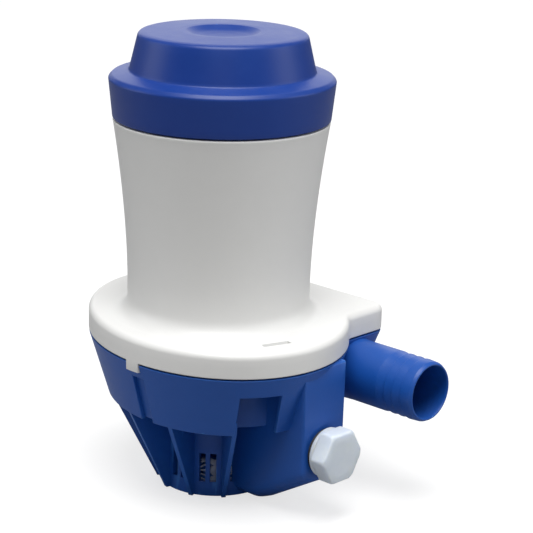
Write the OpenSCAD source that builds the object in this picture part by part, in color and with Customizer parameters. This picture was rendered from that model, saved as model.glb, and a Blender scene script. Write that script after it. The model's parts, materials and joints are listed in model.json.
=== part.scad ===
// Bilge pump: blue base with strainer feet and side discharge, white motor
// housing with an oval flange, blue top cap, and the motor and impeller inside.
// The origin is on the pump's axis, in the plane of its feet. +Z is up, +X is the
// way the discharge points, and +Y is the side the discharge is offset to.

/* [Overall] */
// Height of the joint between the blue base and the white flange
seam_z = 72; // [70:0.5:76]
// Height of the joint between the white housing and the cap
cap_z = 175; // [172:1:182]
// Dark gap left between neighbouring mouldings
seam_gap = 0.5; // [0.3:0.1:0.8]

/* [Flange] */
// Long half-width of the oval flange
oval_a = 71.5; // [70:0.5:74]
// Short half-width of the oval flange
oval_b = 59.2; // [58:0.2:61]
// Turn of the oval's long axis away from the discharge
oval_turn = -22; // [-26:1:-18]
// Thickness of the white flange
flange_t = 12; // [10:0.5:14]

/* [Housing] */
// Narrowest outer radius of the white housing
neck_r = 42.6; // [42:0.2:44]
// Outer radius of the white housing under the cap
mouth_r = 49.8; // [49:0.2:51]
// Wall of the white housing
wall = 2.6; // [2:0.1:3]

/* [Cap] */
// Radius of the cap's shoulder
shoulder_r = 51.8; // [51:0.2:53]
// Height of the shoulder's outer edge above the cap's lower rim
shoulder_h = 19.2; // [18:0.2:21]
// Height of the crown's edge above the cap's lower rim
crown_h = 38.4; // [36:0.2:40]
// Radius of the crown's edge
crown_r = 38.3; // [37:0.1:39]

/* [Discharge] */
// Offset of the discharge from the pump's axis
port_y = 45.2; // [44.5:0.1:45.6]
// Height of the discharge's axis
port_z = 56; // [55.5:0.1:56.5]
// Reach of the discharge's mouth from the pump's axis
port_x = 93; // [88:1:100]
// Outer radius of the hose tail
port_r = 14.5; // [14.2:0.1:14.6]
// Bore radius of the hose tail
port_bore_r = 12.5; // [12:0.1:12.6]

/* [Second inlet] */
// Offset of the plugged inlet from the pump's axis
plug_y = 2.4; // [0:0.2:4]
// Height of the plugged inlet's axis
plug_z = 31.3; // [30:0.1:33]
// Distance of the plugged inlet's face from the pump's axis
plug_x = 66.6; // [66:0.1:67]
// Width across the flats of the plug's hexagon
plug_af = 23.2; // [21:0.1:23.6]

/* [Motor] */
// Outer radius of the motor can
can_r = 34; // [33:0.2:34.6]
// Radius of the motor shaft
shaft_r = 4; // [3.5:0.1:4.2]
// Radius of the armature
core_r = 27; // [26:0.1:27.2]
// Radius of the impeller
impeller_r = 33; // [30:0.5:34]

/* [Hidden] */

// Shared small sizes
e = 0.01;
fit = 0.04;
free = 0.35;
round_fn = 96;
oval_steps = 72;
oval_cx = -1.5;
oval_cy = 1.5;

// Skirt of the base
skirt_z = 42;
skirt_taper = 0.845;
skirt_wall = 2.5;
deck_t = 3;
ear_x = 49;
ear_y = 66;
ear_corner = 8;
ear_root_x = -24;
ear_root_y = 61;

// Pumping chamber
chamber_r = 45;
chamber_cy = 8;
chamber_wall = 2.5;
chamber_z = 43;
floor_t = 3;
eye_r = 16;

// Strainer basket and its fins
basket_r = 26;
basket_wall = 2.4;
foot_r = 27.8;
fin_t = 2;
fin_count = 11;
fin_first = -4;
slot_w = 3;
slot_low = 7;
slot_high = 21;

// Hose tail between its barbs
barb_r = 13.85;

// Plugged inlet
duct_r = 13.7;
plug_thread_r = 8;
plug_depth = 12;
gasket_t = 1.6;
collar_r = 11.6;
collar_t = 2.2;
hex_t = 8.2;

// Key and pointer marks
key_turn = -85.2;
key_w = 7.4;
key_drop = 4;
notch_turn = key_turn + 1.8;
notch_w = 6.8;
notch_high = 65;
window_turn = -27.6;
window_w = 19.5;
window_top = 62.5;
mark_turn = -18.3;
mark_x = 55.9;
mark_w = 3.3;
mark_l = 13.6;

// Housing inside
flange_z = seam_z + seam_gap;
flange_top = seam_z + flange_t;
floor_top = 80;
rim_t = 3;
neck_z = 98;
foot_fillet = 7;
neck_steps = 14;
cover_t = 3.2;
cover_r = chamber_r - free;

// Motor inside
can_z = 80.5;
can_top = 142;
can_wall = 1.6;
can_floor = 2;
bearing_r = 8;
bearing_h = 6;
boss_r = 10.8;
magnet_t = 4.2;
magnet_low = 92;
magnet_high = 130;
core_low = 95;
core_high = 125;
coil_low = 89.5;
coil_high = 130.5;
core_slots = 7;
comm_r = 10;
comm_low = 132;
comm_high = 141.5;
bell_top = 148;
shaft_low = 40.6;
shaft_high = 150.5;
brush_z = 136.6;
brush_w = 5;
brush_h = 6;
brush_l = 8;
guide_wall = 0.8;
spring_r = 1.9;
spring_wire_r = 0.3;
spring_coils = 5;
guide_end = 29.5;
screw_r = 2;
cover_screw_pcr = 22;
bell_screw_pcr = 29;

// Impeller
impeller_low = 44.5;
impeller_high = 60;
shroud_t = 2.2;
hub_r = 8;
hub_high = 65;
vane_count = 6;
vane_t = 2.2;
vane_bend_r = 22;
pin_r = 1.25;
pin_z = 62.6;

// Cable gland
gland_turn = 135;
gland_z = 158;
gland_r = 6.5;
gland_bore_r = 3.5;
gland_x = 42;
gland_out = 61;
lead_r = 1.1;
lead_y = 2.2;
lead_z = gland_z - 1.4;
lead_end = 31;

// Skirt scale at height z
function skirt_scale(z) = 1 - (1 - skirt_taper) * (seam_z - z) / (seam_z - skirt_z);

// Radius of the oval towards angle t, measured from the pump's axis
function oval_r(t) =
    let(u = t - oval_turn)
    let(own = 1 / sqrt(pow(cos(u) / oval_a, 2) + pow(sin(u) / oval_b, 2)))
    own + oval_cx * cos(t) + oval_cy * sin(t);

// Outer radius of the white housing at height z
function housing_r(z) =
    neck_r + (mouth_r - neck_r) * pow(max(0, z - neck_z) / (cap_z - neck_z), 1.7);

function arc_points(r, cx, cy, a0, a1, n) =
    [for (i = [0:n]) let(a = a0 + (a1 - a0) * i / n) [cx + r * cos(a), cy + r * sin(a)]];

module oval(inset = 0) {
    translate([oval_cx, oval_cy])
        rotate(oval_turn)
            polygon([for (i = [0:oval_steps - 1])
                let(t = 360 * i / oval_steps)
                [(oval_a - inset) * cos(t), (oval_b - inset) * sin(t)]]);
}

// Lobe that covers the discharge
module ear(inset = 0) {
    polygon(concat(
        [[ear_root_x, 20], [ear_root_x, ear_root_y - inset], [0, ear_y - inset]],
        arc_points(ear_corner - inset, ear_x - ear_corner, ear_y - ear_corner, 90, 0, 6),
        [[ear_x - inset, 20]]));
}

module outline(inset = 0) {
    oval(inset);
    ear(inset);
}

// Tapered block of the skirt's outline between two heights
module skirt_block(z0, z1, inset = 0) {
    translate([0, 0, z1])
        mirror([0, 0, 1])
            linear_extrude(height = z1 - z0, scale = skirt_scale(z0) / skirt_scale(z1))
                scale(skirt_scale(z1))
                    outline(inset);
}

module bore(r, z0, z1, x = 0, y = 0) {
    translate([x, y, z0])
        cylinder(r = r, h = z1 - z0, $fn = round_fn);
}

module ring(r_out, r_in, z0, z1, x = 0, y = 0) {
    difference() {
        bore(r_out, z0, z1, x, y);
        bore(r_in, z0 - 1, z1 + 1, x, y);
    }
}

// Cylinder along +X from x0 to x1
module bar_x(r, x0, x1, y, z) {
    translate([x0, y, z])
        rotate([0, 90, 0])
            cylinder(r = r, h = x1 - x0, $fn = round_fn);
}

module o_ring(r, section_r, z, y = 0) {
    translate([0, y, z])
        rotate_extrude($fn = round_fn)
            translate([r, 0])
                circle(r = section_r, $fn = 24);
}

// Block on a radius, turned about the pump's axis
module radial_block(turn, x0, x1, w, z0, z1) {
    rotate([0, 0, turn])
        translate([x0, -w / 2, z0])
            cube([x1 - x0, w, z1 - z0]);
}

// ---- Base ----

module hose_tail() {
    translate([0, port_y, port_z])
        rotate([0, 90, 0])
            rotate_extrude($fn = round_fn)
                polygon([[0, 0], [port_r + 0.4, 0], [port_r + 0.4, 44], [port_r, 52],
                    [port_r, 72], [barb_r, 76.6], [port_r, 77], [barb_r, 81.4],
                    [port_r, 81.8], [barb_r, 86.2], [port_r, 86.6],
                    [port_r - 0.3, port_x - 1.5], [port_r - 1.2, port_x], [0, port_x]]);
}

// Flat-sided duct with a round bottom that carries the plugged inlet
module inlet_duct() {
    bar_x(duct_r - 0.05, 20, plug_x, plug_y, plug_z);
    translate([20, plug_y - duct_r, plug_z])
        cube([plug_x - 20, 2 * duct_r, seam_z - 0.05 - plug_z]);
    translate([0, plug_y + duct_r * 0.62, 0])
        rotate([90, 0, 0])
            linear_extrude(height = duct_r * 1.24)
                polygon([[22, 0], [30.5, 0], [plug_x, plug_z - duct_r + 3.2],
                    [plug_x, plug_z], [22, plug_z]]);
}

module fins() {
    for (i = [1:fin_count - 1]) {
        turn = fin_first - 360 * i / fin_count;
        top_r = oval_r(turn) * skirt_taper - 0.9;
        rotate([0, 0, turn])
            translate([0, fin_t / 2, 0])
                rotate([90, 0, 0])
                    linear_extrude(height = fin_t)
                        polygon([[basket_r - 1, 0], [foot_r, 0], [top_r, skirt_z + 0.7],
                            [top_r, skirt_z + 2.3], [basket_r - 1, skirt_z + 2.3]]);
    }
}

module basket_slots() {
    for (i = [0:fin_count - 1]) {
        for (side = [-1, 1]) {
            turn = fin_first - 360 * (i + 0.5) / fin_count + side * 5.6;
            radial_block(turn, basket_r - 5, basket_r + 3, slot_w, slot_low, slot_high);
        }
    }
}

// Wall set back behind the notch of the skirt
module notch_back() {
    intersection() {
        difference() {
            skirt_block(skirt_z + 1.2, seam_z - deck_t + 0.2, skirt_wall - 0.3);
            skirt_block(skirt_z, seam_z, skirt_wall + 1.6);
        }
        radial_block(notch_turn, 40, 90, notch_w + 3, skirt_z, seam_z);
    }
}

module pump_base() {
    color([0.10, 0.23, 0.58])
        difference() {
            union() {
                difference() {
                    skirt_block(skirt_z, seam_z);
                    skirt_block(skirt_z - 1, seam_z - deck_t, skirt_wall);
                    radial_block(window_turn, 40, 90, window_w, skirt_z - 2, window_top);
                    radial_block(notch_turn, 45, 90, notch_w, skirt_z - 2, notch_high);
                }
                bore(chamber_r + chamber_wall, chamber_z - floor_t, seam_z - 1, 0, chamber_cy);
                bore(basket_r, 0, chamber_z - 1);
                hose_tail();
                inlet_duct();
                fins();
                notch_back();
            }
            bore(chamber_r, chamber_z, seam_z + 1, 0, chamber_cy);
            bore(eye_r, chamber_z - floor_t - 1, chamber_z + 1);
            bore(basket_r - basket_wall, -1, chamber_z - floor_t);
            bar_x(port_bore_r, 8, port_x + 1, port_y, port_z);
            bar_x(plug_thread_r, 15, plug_x + 1, plug_y, plug_z);
            basket_slots();
            radial_block(key_turn, 50, 90, key_w + 2 * free, seam_z - key_drop - free, seam_z + 1);
        }
}

module strainer_plate() {
    plate_r = basket_r - basket_wall - 0.2;
    color([0.09, 0.20, 0.50])
        difference() {
            union() {
                bore(plate_r, 0, 2.4);
                ring(plate_r, plate_r - 1.6, 2.4, 5);
            }
            for (i = [0:3]) {
                turn = 45 + 90 * i;
                bore(2.3, -1, 4, 16 * cos(turn), 16 * sin(turn));
            }
            for (i = [0:3]) {
                for (x = [6, 10, 14, 18]) {
                    radial_block(90 * i, x - 1.1, x + 1.1, 8, -1, 4);
                }
            }
        }
}

module plug_gasket() {
    color([0.10, 0.10, 0.11])
        difference() {
            bar_x(collar_r - 1, plug_x + 0.05, plug_x + 0.05 + gasket_t, plug_y, plug_z);
            bar_x(plug_thread_r + 0.1, plug_x - 1, plug_x + 3, plug_y, plug_z);
        }
}

module hex_plug() {
    head_x = plug_x + gasket_t + 0.1;
    color([0.88, 0.91, 0.95])
        difference() {
            union() {
                bar_x(plug_thread_r - free, plug_x - plug_depth, head_x + 1, plug_y, plug_z);
                bar_x(collar_r, head_x, head_x + collar_t, plug_y, plug_z);
                translate([head_x + collar_t - e, plug_y, plug_z])
                    rotate([0, 90, 0])
                        rotate([0, 0, 90])
                            cylinder(d = plug_af / cos(30), h = hex_t, $fn = 6);
            }
            bar_x(plug_thread_r - 3, plug_x - plug_depth - 1, head_x, plug_y, plug_z);
        }
}

// ---- Motor housing ----

// Outside of the housing above the flange, as radius and height
function housing_profile() = concat(
    [for (i = [0:5]) let(a = 90 * i / 5)
        [neck_r + foot_fillet - foot_fillet * sin(a),
         flange_top + foot_fillet - foot_fillet * cos(a)]],
    [for (i = [1:neck_steps])
        let(z = neck_z + (cap_z - neck_z) * i / neck_steps) [housing_r(z), z]]);

function inner_profile() = [for (i = [neck_steps:-1:0])
    let(z = neck_z + (cap_z - neck_z) * i / neck_steps)
    [housing_r(z) - wall, z]];

module gland_seat() {
    rotate([0, 0, gland_turn])
        bar_x(gland_r + 2.6, gland_x, gland_x + 9, 0, gland_z);
}

// Hollow in the underside of the flange, around the chamber's lid
module flange_pocket() {
    difference() {
        translate([0, 0, flange_z - 1])
            linear_extrude(height = floor_top - 0.5 - flange_z + 1)
                outline(rim_t);
        bore(cover_r + 2.2, flange_z - 2, floor_top, 0, chamber_cy);
    }
}

module motor_housing() {
    color([0.90, 0.89, 0.86])
        difference() {
            union() {
                difference() {
                    translate([0, 0, flange_z])
                        linear_extrude(height = flange_top - flange_z)
                            outline();
                    bore(neck_r - wall - 2, floor_top, flange_top + 1);
                    flange_pocket();
                }
                rotate_extrude($fn = round_fn)
                    polygon(concat(
                        [[neck_r - wall, flange_top - 3], [neck_r + foot_fillet, flange_top - 3]],
                        housing_profile(), inner_profile()));
                difference() {
                    gland_seat();
                    bore(neck_r + 0.5, gland_z - 20, gland_z + 20);
                }
                radial_block(key_turn, 52, oval_r(key_turn) - 0.4, key_w,
                    seam_z - key_drop, flange_z + 1);
            }
            bore(neck_r - wall, floor_top, neck_z + 1);
            bore(shaft_r + 1.5, seam_z - 1, floor_top + 1);
            bore(11, floor_top - 5, floor_top + 1);
            for (i = [0:2]) {
                turn = 30 + 120 * i;
                bore(screw_r + 0.2, seam_z, floor_top + 1,
                    cover_screw_pcr * cos(turn), cover_screw_pcr * sin(turn));
            }
            rotate([0, 0, gland_turn])
                bar_x(gland_r - 0.6, gland_x - 6, gland_x + 12, 0, gland_z);
            radial_block(mark_turn, mark_x, mark_x + mark_w, mark_l, flange_top - 1.4, flange_top + 1);
        }
}

// Plate that closes the pumping chamber from above
module chamber_cover() {
    color([0.14, 0.14, 0.16])
        difference() {
            bore(cover_r, flange_z - cover_t - 0.05, flange_z - 0.05, 0, chamber_cy);
            bore(shaft_r + 1.5, flange_z - cover_t - 1, flange_z + 1);
            for (i = [0:2]) {
                turn = 30 + 120 * i;
                bore(screw_r + 0.2, flange_z - cover_t - 1, flange_z + 1,
                    cover_screw_pcr * cos(turn), cover_screw_pcr * sin(turn));
            }
            ring(cover_r + 1, cover_r - 1.7, flange_z - 2.4, flange_z - 0.8, 0, chamber_cy);
        }
}

module base_o_ring() {
    color([0.05, 0.05, 0.05])
        o_ring(cover_r - 0.85, 0.75, flange_z - 1.6, chamber_cy);
}

module top_cap() {
    low = cap_z + seam_gap;
    spigot_r = mouth_r - wall - 0.3;
    shoulder_z = cap_z + shoulder_h;
    crown_z = cap_z + crown_h;
    color([0.10, 0.25, 0.66])
        union() {
            rotate_extrude($fn = round_fn)
                polygon(concat(
                    [[spigot_r - 3.2, low - 6], [spigot_r - 1.1, low - 6],
                     [spigot_r - 0.85, low - 4.5], [spigot_r - 2, low - 4.5],
                     [spigot_r - 2, low - 2.7], [spigot_r - 0.5, low - 2.7],
                     [spigot_r, low], [mouth_r + 0.1, low]],
                    arc_points(2.2, shoulder_r - 2.2, shoulder_z - 1.4, 0, 80, 4),
                    [[43.2, shoulder_z + 2.6], [42.4, shoulder_z + 4]],
                    arc_points(3, crown_r - 2.4, crown_z - 1.8, 10, 80, 5),
                    [[18.6, crown_z + 1.9], [17, crown_z + 1.6], [12, crown_z + 0.8],
                     [0, crown_z + 0.5], [0, crown_z - 2.6], [crown_r - 4, crown_z - 4],
                     [39.6, shoulder_z + 1], [shoulder_r - 4, shoulder_z - 2.6],
                     [spigot_r - 3.2, low + 1]]));
        }
}

module cap_o_ring() {
    color([0.05, 0.05, 0.05])
        o_ring(mouth_r - wall - 1.52, 0.72, cap_z + seam_gap - 3.6);
}

// ---- Motor ----

module motor_can() {
    color([0.62, 0.63, 0.65])
        difference() {
            bore(can_r, can_z, can_top);
            bore(can_r - can_wall, can_z + can_floor, can_top + 1);
            bore(bearing_r - 2, can_z - 1, can_z + can_floor + 1);
            for (i = [0:2]) {
                turn = 30 + 120 * i;
                bore(screw_r - 0.1, can_z - 1, can_z + can_floor + 1,
                    cover_screw_pcr * cos(turn), cover_screw_pcr * sin(turn));
            }
        }
    color([0.62, 0.63, 0.65])
        ring(boss_r, bearing_r, can_z + can_floor - e, can_z + can_floor + bearing_h);
}

module field_magnets() {
    outer = can_r - can_wall;
    color([0.20, 0.20, 0.21])
        for (side = [-90, 90]) {
            rotate([0, 0, side])
                intersection() {
                    ring(outer, outer - magnet_t, magnet_low, magnet_high);
                    translate([0, 0, magnet_low - 1])
                        linear_extrude(height = magnet_high - magnet_low + 2)
                            polygon([[0, 0], [60, -48], [60, 48]]);
                }
        }
}

module lower_bearing() {
    color([0.72, 0.55, 0.30])
        ring(bearing_r, shaft_r + fit, can_z + can_floor, can_z + can_floor + bearing_h - 0.4);
}

module upper_bearing() {
    color([0.72, 0.55, 0.30])
        ring(bearing_r, shaft_r + fit, bell_top - bearing_h + 1, bell_top + 1);
}

module end_bell() {
    color([0.13, 0.13, 0.14])
        difference() {
            union() {
                bore(can_r, can_top, bell_top - 2);
                bore(boss_r + 1, bell_top - 3, bell_top + 2);
                ring(can_r - can_wall - 0.1, can_r - 4, can_top - 4, can_top + 1);
            }
            bore(bearing_r, bell_top - bearing_h + 1, bell_top + 1);
            bore(shaft_r + 0.6, can_top - 2, bell_top + 3);
            for (side = [-1, 1]) {
                bore(screw_r + 0.1, can_top - 5, bell_top, 0, side * bell_screw_pcr);
                bore(1.4, can_top - 5, bell_top, 0, side * 18);
            }
        }
}

module shaft_seal() {
    color([0.07, 0.07, 0.08])
        rotate_extrude($fn = round_fn)
            polygon([[shaft_r + 0.06, floor_top - 4.9], [shaft_r + 0.06, floor_top - 4.2],
                [shaft_r + 1.6, floor_top - 2.6], [shaft_r + 2, floor_top - 1],
                [shaft_r + 2, floor_top - 0.2], [11, floor_top - 0.2],
                [11, floor_top - 4.9]]);
}

module pan_screw(r, z_head, z_tip, head_r, head_t, up) {
    bore(r, min(z_head, z_tip), max(z_head, z_tip));
    difference() {
        bore(head_r, up ? z_head : z_head - head_t, up ? z_head + head_t : z_head);
        translate([0, 0, up ? z_head + head_t : z_head - head_t])
            for (turn = [0, 90]) {
                rotate([0, 0, turn])
                    cube([head_r * 1.2, 0.8, head_t], center = true);
            }
    }
}

// Screws that clamp the cover plate, housing and motor together
module cover_screws() {
    color([0.75, 0.75, 0.76])
        for (i = [0:2]) {
            rotate([0, 0, 30 + 120 * i])
                translate([cover_screw_pcr, 0, 0])
                    pan_screw(screw_r - 0.2, flange_z - cover_t - 0.1, can_z + can_floor + 1.5,
                        3.6, 1.8, false);
        }
}

module end_bell_screws() {
    color([0.75, 0.75, 0.76])
        for (side = [-1, 1]) {
            translate([0, side * bell_screw_pcr, 0])
                pan_screw(screw_r, bell_top - 2 + 0.02, can_top - 3, 3.4, 1.8, true);
        }
}

// Brass guides for the brushes, hung under the end bell
module brush_guides() {
    color([0.80, 0.62, 0.28])
        for (turn = [0, 180]) {
            rotate([0, 0, turn])
                difference() {
                    translate([12.5, -brush_w / 2 - guide_wall - 0.15,
                            brush_z - brush_h / 2 - guide_wall - 0.15])
                        cube([guide_end - 12.5, brush_w + 2 * guide_wall + 0.3,
                            can_top - 0.02 - brush_z + brush_h / 2 + guide_wall + 0.15]);
                    translate([10, -brush_w / 2 - 0.15, brush_z - brush_h / 2 - 0.15])
                        cube([guide_end - 10 - 1, brush_w + 0.3, brush_h + 0.3]);
                }
        }
}

module brush(turn) {
    color([0.16, 0.16, 0.17])
        rotate([0, 0, turn])
            difference() {
                translate([comm_r - 0.9, -brush_w / 2, brush_z - brush_h / 2])
                    cube([brush_l + 0.9, brush_w, brush_h]);
                bore(comm_r + 0.1, brush_z - brush_h, brush_z + brush_h);
            }
}

module brush_front() {
    brush(0);
}

module brush_rear() {
    brush(180);
}

// Row of rings that stands for the coiled brush spring
module brush_spring(turn) {
    x0 = comm_r + brush_l + 0.4;
    x1 = guide_end - 1.4;
    color([0.70, 0.70, 0.72])
        rotate([0, 0, turn])
            union() {
                for (i = [0:spring_coils - 1]) {
                    translate([x0 + (x1 - x0) * i / (spring_coils - 1), 0, brush_z])
                        rotate([0, 90, 0])
                            rotate_extrude($fn = 32)
                                translate([spring_r, 0])
                                    circle(r = spring_wire_r, $fn = 16);
                }
                translate([0, 0, spring_r])
                    bar_x(spring_wire_r * 0.9, x0, x1, 0, brush_z);
            }
}

module brush_spring_front() {
    brush_spring(0);
}

module brush_spring_rear() {
    brush_spring(180);
}

module suppression_capacitor() {
    color([0.72, 0.45, 0.16])
        rotate([0, 0, 45])
            translate([24, 0, bell_top - 2 + 0.02])
                union() {
                    bore(3.6, 0.02, 9);
                    bore(3.9, 2, 7);
                }
}

// Insulated leads from the end bell to the cable gland
module motor_leads() {
    color([0.60, 0.10, 0.08])
        for (side = [-1, 1]) {
            rotate([0, 0, gland_turn])
                translate([16, side * lead_y, 0])
                    union() {
                        bore(lead_r, bell_top - 2 + 0.05, lead_z);
                        translate([0, 0, lead_z])
                            sphere(r = lead_r, $fn = 24);
                        bar_x(lead_r, 0, lead_end - 16, 0, lead_z);
                    }
        }
}

// Crimped joints where the leads meet the supply cable
module lead_splices() {
    color([0.12, 0.30, 0.62])
        for (side = [-1, 1]) {
            rotate([0, 0, gland_turn])
                difference() {
                    bar_x(1.9, lead_end - 3, lead_end + 6, side * lead_y, lead_z);
                    bar_x(lead_r + 0.02, lead_end - 4, lead_end + 0.1, side * lead_y, lead_z);
                }
        }
}

module cable_gland() {
    color([0.08, 0.08, 0.09])
        rotate([0, 0, gland_turn])
            difference() {
                union() {
                    bar_x(gland_r - 0.7, gland_x - 2, gland_out - 4, 0, gland_z);
                    translate([gland_x + 9.05, 0, gland_z])
                        rotate([0, 90, 0])
                            cylinder(r = gland_r + 2, h = 2.6, $fn = 6);
                }
                bar_x(gland_bore_r + 1.2, gland_x - 5, gland_out, 0, gland_z);
            }
}

module gland_sleeve() {
    color([0.12, 0.12, 0.12])
        rotate([0, 0, gland_turn])
            difference() {
                bar_x(gland_bore_r + 1.15, gland_x + 9.2, gland_out - 4, 0, gland_z);
                bar_x(gland_bore_r, gland_x, gland_out, 0, gland_z);
            }
}

module gland_nut() {
    color([0.08, 0.08, 0.09])
        rotate([0, 0, gland_turn])
            difference() {
                union() {
                    bar_x(gland_r + 1.4, gland_x + 11.75, gland_out - 2.6, 0, gland_z);
                    bar_x(gland_r, gland_out - 2.6, gland_out - 1.2, 0, gland_z);
                }
                bar_x(gland_r - 0.65, gland_x + 10, gland_out - 3.9, 0, gland_z);
                bar_x(gland_bore_r + 0.6, gland_x, gland_out, 0, gland_z);
            }
}

// ---- Rotor ----

module motor_shaft() {
    color([0.74, 0.75, 0.77])
        difference() {
            union() {
                bore(shaft_r, shaft_low + 0.6, shaft_high - 0.5);
                bore(shaft_r - 0.6, shaft_low, shaft_high);
            }
            ring(shaft_r + 1, shaft_r - 0.6, shaft_low + 1.8, shaft_low + 2.9);
            bar_x(pin_r + 0.02, -6, 6, 0, pin_z);
        }
}

module armature_core() {
    color([0.45, 0.46, 0.48])
        difference() {
            bore(core_r, core_low, core_high);
            bore(shaft_r + 0.02, core_low - 1, core_high + 1);
            for (i = [0:core_slots - 1]) {
                turn = 360 * i / core_slots;
                radial_block(turn, 19, core_r + 2, 1.8, core_low - 1, core_high + 1);
                rotate([0, 0, turn])
                    bore(4.3, core_low - 1, core_high + 1, 18.4, 0);
            }
        }
}

module armature_windings() {
    color([0.66, 0.32, 0.14])
        union() {
            for (i = [0:core_slots - 1]) {
                rotate([0, 0, 360 * i / core_slots])
                    bore(4.15, coil_low + 2, coil_high - 2, 18.4, 0);
            }
            for (z = [coil_low, core_high + 0.1]) {
                ring(23.4, 11, z, z + core_low - coil_low - 0.1);
            }
        }
}

module commutator() {
    color([0.76, 0.44, 0.24])
        difference() {
            bore(comm_r, comm_low, comm_high);
            bore(shaft_r + 0.02, comm_low - 1, comm_high + 1);
            for (i = [0:core_slots - 1]) {
                radial_block(360 * (i + 0.5) / core_slots, comm_r - 1.4, comm_r + 1, 0.6,
                    comm_low + 1.5, comm_high + 1);
            }
        }
}

module water_slinger() {
    color([0.10, 0.10, 0.10])
        ring(6.6, shaft_r + 0.02, hub_high + 0.3, hub_high + 2.1);
}

module vane(turn) {
    rotate([0, 0, turn])
        intersection() {
            bore(impeller_r - 0.4, impeller_low + 0.3, impeller_high - shroud_t + 0.5);
            ring(vane_bend_r + vane_t, vane_bend_r, impeller_low - 1, impeller_high,
                0, vane_bend_r + vane_t / 2);
            translate([hub_r - 3, -60, impeller_low - 2])
                cube([60, 120, 30]);
        }
}

module impeller() {
    color([0.16, 0.17, 0.19])
        difference() {
            union() {
                bore(impeller_r, impeller_high - shroud_t, impeller_high);
                bore(hub_r, impeller_low, hub_high);
                for (i = [0:vane_count - 1]) {
                    vane(360 * i / vane_count);
                }
            }
            bore(shaft_r + 0.02, impeller_low - 1, hub_high + 1);
            bar_x(pin_r + 0.02, -10, 10, 0, pin_z);
        }
}

module impeller_pin() {
    color([0.78, 0.78, 0.80])
        bar_x(pin_r, -7.6, 7.6, 0, pin_z);
}

module shaft_clip() {
    color([0.55, 0.56, 0.58])
        difference() {
            ring(6.2, shaft_r - 0.58, shaft_low + 1.9, shaft_low + 2.8);
            radial_block(0, 0, 10, 4.6, shaft_low, shaft_low + 5);
        }
}

pump_base();
strainer_plate();
plug_gasket();
hex_plug();
motor_housing();
chamber_cover();
base_o_ring();
top_cap();
cap_o_ring();
motor_can();
field_magnets();
end_bell();
lower_bearing();
upper_bearing();
shaft_seal();
cover_screws();
end_bell_screws();
suppression_capacitor();
brush_guides();
brush_front();
brush_rear();
brush_spring_front();
brush_spring_rear();
motor_leads();
lead_splices();
cable_gland();
gland_sleeve();
gland_nut();
motor_shaft();
armature_core();
armature_windings();
commutator();
water_slinger();
impeller();
impeller_pin();
shaft_clip();
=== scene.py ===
import json
import math

import bpy
import bmesh
import numpy as np
from mathutils import Matrix


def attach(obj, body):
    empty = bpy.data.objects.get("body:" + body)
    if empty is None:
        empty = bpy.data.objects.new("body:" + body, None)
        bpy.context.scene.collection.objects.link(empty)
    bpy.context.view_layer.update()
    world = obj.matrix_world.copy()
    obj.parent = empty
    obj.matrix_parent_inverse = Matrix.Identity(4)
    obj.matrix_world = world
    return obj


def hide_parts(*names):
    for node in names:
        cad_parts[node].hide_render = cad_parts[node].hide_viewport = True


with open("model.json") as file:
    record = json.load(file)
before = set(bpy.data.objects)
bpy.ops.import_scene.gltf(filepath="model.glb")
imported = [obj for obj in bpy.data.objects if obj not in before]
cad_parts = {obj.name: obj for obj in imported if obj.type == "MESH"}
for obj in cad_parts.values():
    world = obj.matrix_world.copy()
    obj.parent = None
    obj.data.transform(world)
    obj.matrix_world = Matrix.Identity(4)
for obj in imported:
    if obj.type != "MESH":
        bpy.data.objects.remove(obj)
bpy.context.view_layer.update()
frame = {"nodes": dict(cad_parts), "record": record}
nodes = frame["nodes"]
slot_of = {part["node"]: part["material_slot"] for part in frame["record"]["subparts"]}
MM = 0.001


# ---------------------------------------------------------------- camera, light and floor

def set_camera():
    """Camera on the discharge's side, a little above the flange, looking slightly down."""
    yaw, pitch, roll, turn = 0.0251, 0.283, 0.0261, 0.7811
    across = np.array([math.cos(yaw), -math.sin(yaw), 0.0])
    ahead = np.array([math.sin(yaw) * math.cos(pitch), math.cos(yaw) * math.cos(pitch),
                      -math.sin(pitch)])
    upright = np.cross(across, ahead)
    right = across * math.cos(roll) + upright * math.sin(roll)
    top = -across * math.sin(roll) + upright * math.cos(roll)
    to_row = np.array([[math.cos(turn), -math.sin(turn), 0.0],
                       [math.sin(turn), math.cos(turn), 0.0],
                       [0.0, 0.0, 1.0]])
    spin = np.stack([to_row @ right, to_row @ top, to_row @ -ahead], axis=1)
    lens = bpy.data.cameras.new("camera")
    lens.sensor_width = 36.0
    lens.lens = 132.6
    lens.clip_start = 0.01
    lens.clip_end = 50.0
    eye = bpy.data.objects.new("camera", lens)
    bpy.context.scene.collection.objects.link(eye)
    eye.matrix_world = Matrix.Translation((0.6188, -0.6241, 0.3605)) @ Matrix(spin.tolist()).to_4x4()
    bpy.context.scene.camera = eye


def soft_box(name, place, aim, width, height, watts, tint=(1.0, 1.0, 1.0)):
    """Rectangular soft light at a place, turned towards a point."""
    lamp = bpy.data.lights.new(name, "AREA")
    lamp.shape = "RECTANGLE"
    lamp.size = width
    lamp.size_y = height
    lamp.energy = watts
    lamp.color = tint
    holder = bpy.data.objects.new(name, lamp)
    bpy.context.scene.collection.objects.link(holder)
    away = np.array(place, dtype=float) - np.array(aim, dtype=float)
    away /= np.linalg.norm(away)
    side = np.cross([0.0, 0.0, 1.0], away)
    side = side / np.linalg.norm(side) if np.linalg.norm(side) > 1e-6 else np.array([1.0, 0.0, 0.0])
    upward = np.cross(away, side)
    spin = Matrix(np.stack([side, upward, away], axis=1).tolist()).to_4x4()
    holder.matrix_world = Matrix.Translation(place) @ spin
    holder.visible_camera = False


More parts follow.
